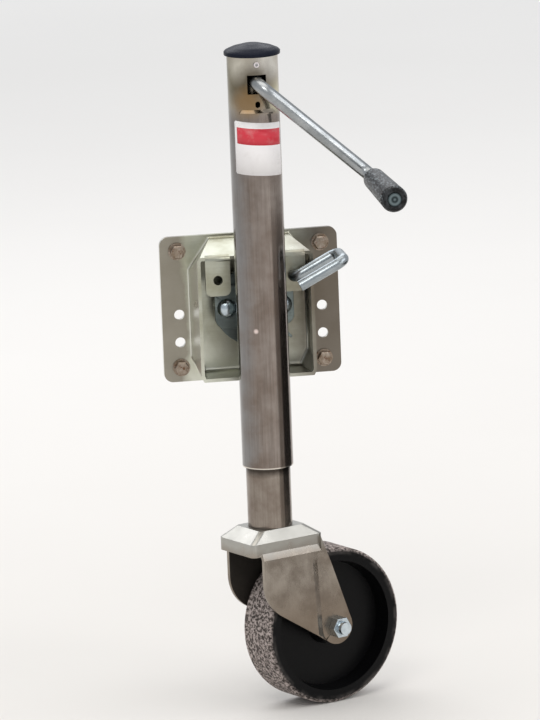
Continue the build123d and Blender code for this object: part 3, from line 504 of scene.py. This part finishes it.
def wheelPlastic():
    # Polyolefin, moulded black: dull, with pale dust and grit pressed into the tread and scuffed rims.
    material, tree, shader = newMaterial("wheelPolyolefin")
    place = addNode(tree, "ShaderNodeTexCoord").outputs["Object"]
    centred = addNode(tree, "ShaderNodeVectorMath", {"operation": "SUBTRACT"}, {
        0: place, 1: tuple(wheelCentre)})
    turned = addNode(tree, "ShaderNodeVectorRotate", {"rotation_type": "Z_AXIS"}, {
        "Vector": centred.outputs["Vector"], "Angle": -wheelTurn})
    parts = addNode(tree, "ShaderNodeSeparateXYZ", inputs={"Vector": turned.outputs["Vector"]})
    flat = addNode(tree, "ShaderNodeCombineXYZ", inputs={
        "X": parts.outputs["X"], "Z": parts.outputs["Z"]})
    reach = addNode(tree, "ShaderNodeVectorMath", {"operation": "LENGTH"}, {0: flat.outputs["Vector"]})
    tread = addNode(tree, "ShaderNodeMapRange", inputs={
        "Value": reach.outputs["Value"], "From Min": wheelRadius - wheelLook["dustStart"],
        "From Max": wheelRadius - wheelLook["dustFull"]})
    clouds = addNode(tree, "ShaderNodeTexNoise", inputs={
        "Vector": place, "Scale": patternScale(wheelLook["cloudMm"]), "Detail": 4.0})
    # grit in the tread, drawn about twice as coarse as it is so that it shows at this size
    specks = addNode(tree, "ShaderNodeTexNoise", inputs={
        "Vector": place, "Scale": patternScale(wheelLook["speckMm"]), "Detail": 7.0, "Roughness": 0.7})
    chalky = addNode(tree, "ShaderNodeMapRange", inputs={
        "Value": specks.outputs["Fac"], "From Min": wheelLook["chalkFrom"],
        "From Max": wheelLook["chalkTo"], "To Min": wheelLook["chalkLeast"]})
    dustColor = addNode(tree, "ShaderNodeMix", {"data_type": "RGBA"}, {
        "Factor": chalky.outputs["Result"], "A": linearColor(wheelLook["dust"]),
        "B": linearColor(wheelLook["chalk"])})
    dustAmount = addNode(tree, "ShaderNodeMapRange", inputs={
        "Value": specks.outputs["Fac"], "From Min": wheelLook["dustFrom"], "From Max": wheelLook["dustTo"],
        "To Min": wheelLook["dustLeast"], "To Max": wheelLook["dustMost"]})
    dusty = addNode(tree, "ShaderNodeMath", {"operation": "MULTIPLY"}, {
        0: tread.outputs["Result"], 1: dustAmount.outputs["Result"]})
    # a narrow scuffed ring on the sidewall, just inside the tread
    inner = addNode(tree, "ShaderNodeMapRange", inputs={
        "Value": reach.outputs["Value"], "From Min": wheelRadius - wheelLook["ringStart"],
        "From Max": wheelRadius - wheelLook["ringFull"]})
    outer = addNode(tree, "ShaderNodeMapRange", inputs={
        "Value": reach.outputs["Value"], "From Min": wheelRadius - wheelLook["ringFade"],
        "From Max": wheelRadius - wheelLook["ringEnd"], "To Min": 1.0, "To Max": 0.0})
    ring = addNode(tree, "ShaderNodeMath", {"operation": "MULTIPLY"}, {
        0: inner.outputs["Result"], 1: outer.outputs["Result"]})
    patches = addNode(tree, "ShaderNodeMapRange", inputs={
        "Value": clouds.outputs["Fac"], "From Min": wheelLook["scuffFrom"],
        "From Max": wheelLook["scuffTo"], "To Max": wheelLook["scuffMost"]})
    scuffed = addNode(tree, "ShaderNodeMath", {"operation": "MULTIPLY"}, {
        0: ring.outputs["Value"], 1: patches.outputs["Result"]})
    side = addNode(tree, "ShaderNodeMix", {"data_type": "RGBA"}, {
        "Factor": scuffed.outputs["Value"], "A": linearColor(wheelLook["plastic"]),
        "B": linearColor(wheelLook["scuff"])})
    color = addNode(tree, "ShaderNodeMix", {"data_type": "RGBA"}, {
        "Factor": dusty.outputs["Value"], "A": side.outputs["Result"], "B": dustColor.outputs["Result"]})
    rough = addNode(tree, "ShaderNodeMapRange", inputs={
        "Value": dusty.outputs["Value"], "To Min": wheelLook["roughness"][0],
        "To Max": wheelLook["roughness"][1]})
    bump = addNode(tree, "ShaderNodeBump", inputs={
        "Height": specks.outputs["Fac"], "Strength": wheelLook["gritBump"],
        "Distance": wheelLook["gritDepth"]})
    shader.inputs["IOR"].default_value = wheelLook["ior"]
    shader.inputs["Specular IOR Level"].default_value = wheelLook["gloss"]
    tree.links.new(color.outputs["Result"], shader.inputs["Base Color"])
    tree.links.new(rough.outputs["Result"], shader.inputs["Roughness"])
    tree.links.new(bump.outputs["Normal"], shader.inputs["Normal"])
    return material


labelLook = {"vinyl": "#efecec", "band": "#cf2f3f", "dirt": "#c9c1bb", "dirtMm": 9,
             "dirtFrom": 0.5, "dirtTo": 0.85, "dirtMost": 0.3, "roughness": 0.38, "ior": 1.5,
             "rippleBump": 0.08, "rippleDepth": 0.0005}


def labelFilm(title, hexText):
    # Printed vinyl film: nearly flat colour under a light gloss, its surface a little rippled by the glue.
    material, tree, shader = newMaterial(title)
    place = addNode(tree, "ShaderNodeTexCoord").outputs["Object"]
    dirt = addNode(tree, "ShaderNodeTexNoise", inputs={
        "Vector": place, "Scale": patternScale(labelLook["dirtMm"]), "Detail": 6.0, "Roughness": 0.7})
    soiled = addNode(tree, "ShaderNodeMapRange", inputs={
        "Value": dirt.outputs["Fac"], "From Min": labelLook["dirtFrom"], "From Max": labelLook["dirtTo"],
        "To Max": labelLook["dirtMost"]})
    color = addNode(tree, "ShaderNodeMix", {"data_type": "RGBA"}, {
        "Factor": soiled.outputs["Result"], "A": linearColor(hexText),
        "B": linearColor(labelLook["dirt"])})
    bump = addNode(tree, "ShaderNodeBump", inputs={
        "Height": dirt.outputs["Fac"], "Strength": labelLook["rippleBump"],
        "Distance": labelLook["rippleDepth"]})
    shader.inputs["IOR"].default_value = labelLook["ior"]
    shader.inputs["Roughness"].default_value = labelLook["roughness"]
    tree.links.new(color.outputs["Result"], shader.inputs["Base Color"])
    tree.links.new(bump.outputs["Normal"], shader.inputs["Normal"])
    return material


capPolyethylene = capPlastic()
gripPolypropylene = gripPlastic()
wheelPolyolefin = wheelPlastic()
labelVinyl = labelFilm("labelVinyl", labelLook["vinyl"])
bandVinyl = labelFilm("bandVinyl", labelLook["band"])
print("plastics ready")

finishes = {
    "mount_bracket": bracketZinc, "swivel_spindle": spindleZinc, "pull_pin": barZinc,
    "index_plate": indexZinc, "tube_saddle": indexZinc, "saddle_bolt_left": boltZinc,
    "saddle_bolt_right": boltZinc, "outer_tube": tubeZinc, "inner_tube": innerTubeZinc,
    "top_cap": capPolyethylene, "cap_rivet": rivetSteel, "crank_rod": crankZinc,
    "crank_grip": gripPolypropylene, "king_pin": spindleZinc, "caster_fork": forkZinc,
    "axle_bolt": boltZinc, "axle_nut": boltZinc, "axle_spacer_near": boltZinc,
    "axle_spacer_far": boltZinc, "caster_wheel": wheelPolyolefin}
for number in range(1, 5):
    finishes[f"mount_bolt_{number}"] = weatheredBolt
    finishes[f"mount_washer_{number}"] = weatheredBolt

for name, node in nodes.items():
    for slot in node.material_slots:
        slot.material = finishes[name]
    if not node.material_slots:
        node.data.materials.append(finishes[name])
print("finishes assigned")


# worn edges: a fine rounding that catches the light, its width in millimetres

edgeWear = {"mount_bracket": 1.1, "tube_saddle": 0.6, "index_plate": 0.5, "caster_fork": 1.4,
            "top_cap": 0.6, "crank_grip": 0.9, "axle_nut": 0.4, "axle_bolt": 0.4}
for number in range(1, 5):
    edgeWear[f"mount_bolt_{number}"] = 0.4
seamGap = 0.000002
sharpEdge = 32  # degrees
wideWear = 1.0  # millimetres, past which a rounding gets a third segment

for name, width in edgeWear.items():
    weld = nodes[name].modifiers.new("joinSeams", "WELD")
    weld.merge_threshold = seamGap
    bevel = nodes[name].modifiers.new("wornEdges", "BEVEL")
    bevel.width = width * mm
    bevel.segments = 3 if width > wideWear else 2
    bevel.limit_method = "ANGLE"
    bevel.angle_limit = math.radians(sharpEdge)
    bevel.use_clamp_overlap = True
    bevel.harden_normals = True
print("edges worn")


# the label, left blank but for its band: angles are degrees round the tube from its front

labelPlan = {"topZ": 0.2018, "bottomZ": 0.1488, "fromAngle": -60, "toAngle": 66, "corner": 0.0016,
             "lift": 0.00012}
bandPlan = {"topZ": 0.1957, "bottomZ": 0.1792, "fromAngle": -53, "toAngle": 63, "corner": 0.0004,
            "lift": 0.000192}
labelTilt = -4.4  # degrees, of both sheets
sheetColumns = 48


def tubePoint(angle, z, lift):
    # a point on the outer tube, its angle from the front in degrees
    turn = math.radians(angle)
    reach = tubeRadius + lift
    return Vector((reach * math.sin(turn), tubeY - reach * math.cos(turn), z))


def wrappedSheet(title, plan, material):
    # a thin sheet that wraps the tube, with rounded corners, closed at its borders
    mesh = bmesh.new()
    columns = []
    spread = plan["toAngle"] - plan["fromAngle"]
    arc = math.radians(spread) * tubeRadius
    for column in range(sheetColumns + 1):
        share = column / sheetColumns
        edge = min(share, 1 - share) * arc
        cut = 0.0
        if edge < plan["corner"]:
            cut = plan["corner"] - math.sqrt(max(0.0, plan["corner"] ** 2 - (plan["corner"] - edge) ** 2))
        angle = plan["fromAngle"] + share * spread
        tilt = math.tan(math.radians(labelTilt)) * math.radians(angle) * tubeRadius
        rows = []
        for level in (plan["topZ"] - cut, (plan["topZ"] + plan["bottomZ"]) / 2, plan["bottomZ"] + cut):
            rows.append([mesh.verts.new(tubePoint(angle, level + tilt, lift)) for lift in (plan["lift"], 0)])
        columns.append(rows)
    for left, right in zip(columns, columns[1:]):
        for upper in range(2):
            mesh.faces.new((left[upper][0], left[upper + 1][0], right[upper + 1][0], right[upper][0]))
        mesh.faces.new((left[0][1], left[0][0], right[0][0], right[0][1]))
        mesh.faces.new((left[2][0], left[2][1], right[2][1], right[2][0]))
    for rows in (columns[0], columns[-1]):
        for upper in range(2):
            mesh.faces.new((rows[upper][0], rows[upper][1], rows[upper + 1][1], rows[upper + 1][0]))
    bmesh.ops.recalc_face_normals(mesh, faces=mesh.faces)
    sheet = meshObject(title, mesh, material)
    for face in sheet.data.polygons:
        face.use_smooth = abs(face.normal.z) < 0.5  # its upper and lower borders stay flat
    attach(sheet, "jack")


wrappedSheet("tube_label", labelPlan, labelVinyl)
wrappedSheet("label_band", bandPlan, bandVinyl)
print("label on")


# weld beads, laid in overlapping ripples

beadPlan = {"radiusMm": 1.9, "rippleMm": 1.7, "rippleDepth": 0.16, "unevenness": 0.03, "sides": 10,
            "stepMm": 0.45, "fewestSteps": 8, "endShare": 0.35, "endSlope": 4}
weldPlan = {"webOuterX": 0.018,  # the outer faces of the saddle's webs
            "webLift": 0.0006, "webEndGap": 0.002, "bossLift": 0.0004, "bossSteps": 72}


def weldBead(title, path, body):
    # a bead along a path of points, swelling at each ripple
    rng = random.Random(title)
    total = sum((b - a).length for a, b in zip(path, path[1:]))
    steps = max(beadPlan["fewestSteps"], int(total / (beadPlan["stepMm"] * mm)))
    points = []
    for step in range(steps + 1):
        distance = total * step / steps
        for a, b in zip(path, path[1:]):
            span = (b - a).length
            if distance <= span or b is path[-1]:
                points.append(a.lerp(b, min(1.0, distance / span)))
                break
            distance -= span
    mesh = bmesh.new()
    rings = []
    sides = beadPlan["sides"]
    closed = (path[0] - path[-1]).length < 1e-6
    for index, point in enumerate(points):
        ahead = points[min(index + 1, len(points) - 1)] - points[max(index - 1, 0)]
        side = ahead.orthogonal().normalized()
        other = ahead.normalized().cross(side)
        phase = (index * total / steps) / (beadPlan["rippleMm"] * mm)
        uneven = rng.uniform(-beadPlan["unevenness"], beadPlan["unevenness"])
        swell = 1 - beadPlan["rippleDepth"] * (phase % 1.0) + uneven
        fromEnd = min(index, steps - index) / steps
        taper = 1.0 if closed else min(1.0, beadPlan["endShare"] + beadPlan["endSlope"] * fromEnd)
        reach = beadPlan["radiusMm"] * mm * swell * taper
        around = [2 * math.pi * k / sides for k in range(sides)]
        rings.append([mesh.verts.new(point + reach * (math.cos(t) * side + math.sin(t) * other))
                      for t in around])
    for first, second in zip(rings, rings[1:]):
        for k in range(sides):
            n = (k + 1) % sides
            mesh.faces.new((first[k], first[n], second[n], second[k]))
    if not closed:
        mesh.faces.new(rings[0])
        mesh.faces.new(rings[-1])
    bmesh.ops.recalc_face_normals(mesh, faces=mesh.faces)
    bead = meshObject(title, mesh, weldZinc)
    for face in bead.data.polygons:
        face.use_smooth = True
    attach(bead, body)


saddleLow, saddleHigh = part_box("tube_saddle")
webY = tubeY + math.sqrt(tubeRadius ** 2 - weldPlan["webOuterX"] ** 2)
for name, side in (("left", -1), ("right", 1)):
    x = side * (weldPlan["webOuterX"] + weldPlan["webLift"])
    foot = Vector((x, webY, saddleLow[2] + weldPlan["webEndGap"]))
    head = Vector((x, webY, saddleHigh[2] - weldPlan["webEndGap"]))
    weldBead(f"weld_saddle_{name}", [foot, head], "jack")

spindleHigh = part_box("swivel_spindle")[1]
bossCentre = Vector((0.0, spindleHigh[1] - weldPlan["bossLift"], boxCentre("swivel_spindle").z))
bossReach = spindleHigh[0] + weldPlan["bossLift"]
bossRing = []
for step in range(weldPlan["bossSteps"]):
    t = 2 * math.pi * step / weldPlan["bossSteps"]
    bossRing.append(bossCentre + bossReach * Vector((math.cos(t), 0, math.sin(t))))
bossRing.append(bossRing[0].copy())
weldBead("weld_spindle", bossRing, "bracket")
print("welds laid")


# studio: lengths in metres

studio = {"floorSize": 60.0, "floorNear": "#dcd9d5", "floorFar": "#efedea", "farFrom": 0.5, "farTo": 4.5,
          "farGlow": 0.22, "glowColor": "#ffffff", "mottlePerMetre": 3.0, "mottleReach": 0.3,
          "floorRoughness": 0.85, "floorGap": 0.0004, "worldColor": "#e8eaed", "worldStrength": 0.78}

world = bpy.data.worlds.new("paleStudio")
bpy.context.scene.world = world
world.use_nodes = True
world.node_tree.nodes.clear()
glow = addNode(world.node_tree, "ShaderNodeBackground", inputs={
    "Color": linearColor(studio["worldColor"]), "Strength": studio["worldStrength"]})
addNode(world.node_tree, "ShaderNodeOutputWorld", inputs={"Surface": glow.outputs["Background"]})


def stageSheet(title, panels, material):
    # a sheet of the studio, given by the corners of its flat panels
    mesh = bmesh.new()
    for corners in panels:
        mesh.faces.new([mesh.verts.new(corner) for corner in corners])
    sheet = meshObject(title, mesh, material)
    return sheet


def floorPaint():
    # Matt studio floor paint: even, with a very slight mottle, and paler far off where the lamps don't
    # reach. There it glows a little for the camera and for what reflects it, but lights nothing.
    material, tree, shader = newMaterial("floorPaint")
    place = addNode(tree, "ShaderNodeTexCoord").outputs["Object"]
    away = addNode(tree, "ShaderNodeVectorMath", {"operation": "LENGTH"}, {0: place})
    mottle = addNode(tree, "ShaderNodeTexNoise", inputs={
        "Vector": place, "Scale": studio["mottlePerMetre"], "Detail": 3.0})
    wander = addNode(tree, "ShaderNodeMath", {"operation": "MULTIPLY_ADD"}, {
        0: mottle.outputs["Fac"], 1: studio["mottleReach"], 2: away.outputs["Value"]})
    far = addNode(tree, "ShaderNodeMapRange", inputs={
        "Value": wander.outputs["Value"], "From Min": studio["farFrom"], "From Max": studio["farTo"]})
    color = addNode(tree, "ShaderNodeMix", {"data_type": "RGBA"}, {
        "Factor": far.outputs["Result"], "A": linearColor(studio["floorNear"]),
        "B": linearColor(studio["floorFar"])})
    ray = addNode(tree, "ShaderNodeLightPath")
    seen = addNode(tree, "ShaderNodeMath", {"operation": "MAXIMUM"}, {
        0: ray.outputs["Is Camera Ray"], 1: ray.outputs["Is Glossy Ray"]})
    seenToo = addNode(tree, "ShaderNodeMath", {"operation": "MAXIMUM"}, {
        0: seen.outputs["Value"], 1: ray.outputs["Is Transmission Ray"]})
    farLight = addNode(tree, "ShaderNodeMath", {"operation": "MULTIPLY"}, {
        0: far.outputs["Result"], 1: studio["farGlow"]})
    glowing = addNode(tree, "ShaderNodeMath", {"operation": "MULTIPLY"}, {
        0: seenToo.outputs["Value"], 1: farLight.outputs["Value"]})
    shader.inputs["Roughness"].default_value = studio["floorRoughness"]
    shader.inputs["Emission Color"].default_value = linearColor(studio["glowColor"])
    tree.links.new(color.outputs["Result"], shader.inputs["Base Color"])
    tree.links.new(glowing.outputs["Value"], shader.inputs["Emission Strength"])
    return material


half = studio["floorSize"] / 2
floorZ = cadBox[0][2] - studio["floorGap"]
floorCorners = [(x, y, floorZ) for x, y in ((-half, -half), (half, -half), (half, half), (-half, half))]
stageSheet("floor", [floorCorners], floorPaint())

# Flags to the right, unseen by the camera: a black one and a grey one beside it, each with a strip that
# stands and one that lies on the floor. Together they draw the deep stripe down the tubes and its soft side.
flags = {
    "blackFlag": {"fromAngle": 74, "toAngle": 126, "steps": 8, "felt": "#161412", "nap": "#1f1c1a"},
    "greyFlag": {"fromAngle": 50, "toAngle": 74, "steps": 4, "felt": "#8b8681", "nap": "#97928d"}}
flagPlan = {"near": 0.72, "far": 1.55, "height": 0.20, "lift": 0.003, "napPerMetre": 60.0,
            "roughness": 0.95}


def feltMaterial(title, plan):
    # Felt: matt, with a slight nap that keeps its tone uneven, drawn far coarser than the real one.
    material, tree, shader = newMaterial(title)
    nap = addNode(tree, "ShaderNodeTexNoise", inputs={"Scale": flagPlan["napPerMetre"]})
    napColor = addNode(tree, "ShaderNodeMix", {"data_type": "RGBA"}, {
        "Factor": nap.outputs["Fac"], "A": linearColor(plan["felt"]), "B": linearColor(plan["nap"])})
    tree.links.new(napColor.outputs["Result"], shader.inputs["Base Color"])
    shader.inputs["Roughness"].default_value = flagPlan["roughness"]
    return material


def roundTube(degrees, distance, z):
    # a point of the stage, by its angle round the tube and its distance from it
    turn = math.radians(degrees)
    return Vector((math.sin(turn) * distance, tubeY - math.cos(turn) * distance, z))


flagZ = floorZ + flagPlan["lift"]
flagOutline = [(flagPlan["near"], flagZ), (flagPlan["far"], flagZ),
               (flagPlan["far"], flagZ + flagPlan["height"])]
for title, plan in flags.items():
    spread = plan["toAngle"] - plan["fromAngle"]
    turns = [plan["fromAngle"] + spread * k / plan["steps"] for k in range(plan["steps"] + 1)]
    panels = []
    for first, second in zip(turns, turns[1:]):
        for low, high in zip(flagOutline, flagOutline[1:]):
            panels.append([roundTube(first, *low), roundTube(first, *high), roundTube(second, *high),
                           roundTube(second, *low)])
    flag = stageSheet(title, panels, feltMaterial(title + "Felt", plan))
    flag.visible_camera = False
    flag.visible_shadow = False
    flag.visible_diffuse = False

lamps = {
    "overheadSoftbox": {"at": (-0.1, 0.0, 2.6), "toward": (0, -0.05, 0), "size": (2.4, 2.4),
                        "power": 24, "color": "#fffaf2"},
    "frontSoftbox": {"at": (-0.9, -2.2, 2.2), "toward": (0, -0.05, -0.05), "size": (1.5, 1.1),
                     "power": 22, "color": "#fffdf8"},
    "sideSoftbox": {"at": (1.84, -1.07, 1.5), "toward": (0, -0.05, -0.2), "size": (1.6, 1.3),
                    "power": 13, "color": "#fdfdff"},
    "backSoftbox": {"at": (-0.3, 2.1, 1.8), "toward": (0, -0.05, 0), "size": (2.8, 1.4),
                    "power": 25, "color": "#fbfcff"},
    "lowSoftbox": {"at": (2.3, -3.0, 1.1), "toward": (0, -0.05, 0.05), "size": (1.3, 0.8),
                   "power": 14, "color": "#fffefa"}}

for title, plan in lamps.items():
    light = bpy.data.lights.new(title, "AREA")
    light.shape = "RECTANGLE"
    light.size, light.size_y = plan["size"]
    light.energy = plan["power"]
    light.color = linearColor(plan["color"])[:3]
    lamp = bpy.data.objects.new(title, light)
    lamp.visible_camera = False
    lamp.location = plan["at"]
    lamp.rotation_euler = (Vector(plan["toward"]) - Vector(plan["at"])).to_track_quat("-Z", "Y").to_euler()
    bpy.context.scene.collection.objects.link(lamp)
print("studio lit")


# camera: angles in degrees, and the shift right and up that centres the jack in the picture

cameraPlan = {"azimuth": -8.81, "elevation": 11.9, "roll": -2.24, "distance": 8.061, "lensMm": 403.65,
              "sensorMm": 36.0, "target": (0.0, -0.050, -0.060), "right": 0.0099, "up": 0.0119,
              "farthest": 200.0}

azimuth, elevation, roll = (math.radians(cameraPlan[k]) for k in ("azimuth", "elevation", "roll"))
backward = Vector((math.sin(azimuth) * math.cos(elevation), -math.cos(azimuth) * math.cos(elevation),
                   math.sin(elevation)))
level = Vector((math.cos(azimuth), math.sin(azimuth), 0))
upright = backward.cross(level)
rightward = level * math.cos(roll) + upright * math.sin(roll)
upward = upright * math.cos(roll) - level * math.sin(roll)
lookAt = Vector(cameraPlan["target"]) + cameraPlan["right"] * rightward + cameraPlan["up"] * upward

lens = bpy.data.cameras.new("photoCamera")
lens.lens = cameraPlan["lensMm"]
lens.sensor_fit = "AUTO"
lens.sensor_width = cameraPlan["sensorMm"]
lens.clip_end = cameraPlan["farthest"]
camera = bpy.data.objects.new("photoCamera", lens)
bpy.context.scene.collection.objects.link(camera)
facing = Matrix((rightward, upward, backward)).transposed().to_4x4()
camera.matrix_world = Matrix.Translation(lookAt + cameraPlan["distance"] * backward) @ facing
bpy.context.scene.camera = camera
bpy.context.scene.view_settings.view_transform = "Standard"
print("camera set")
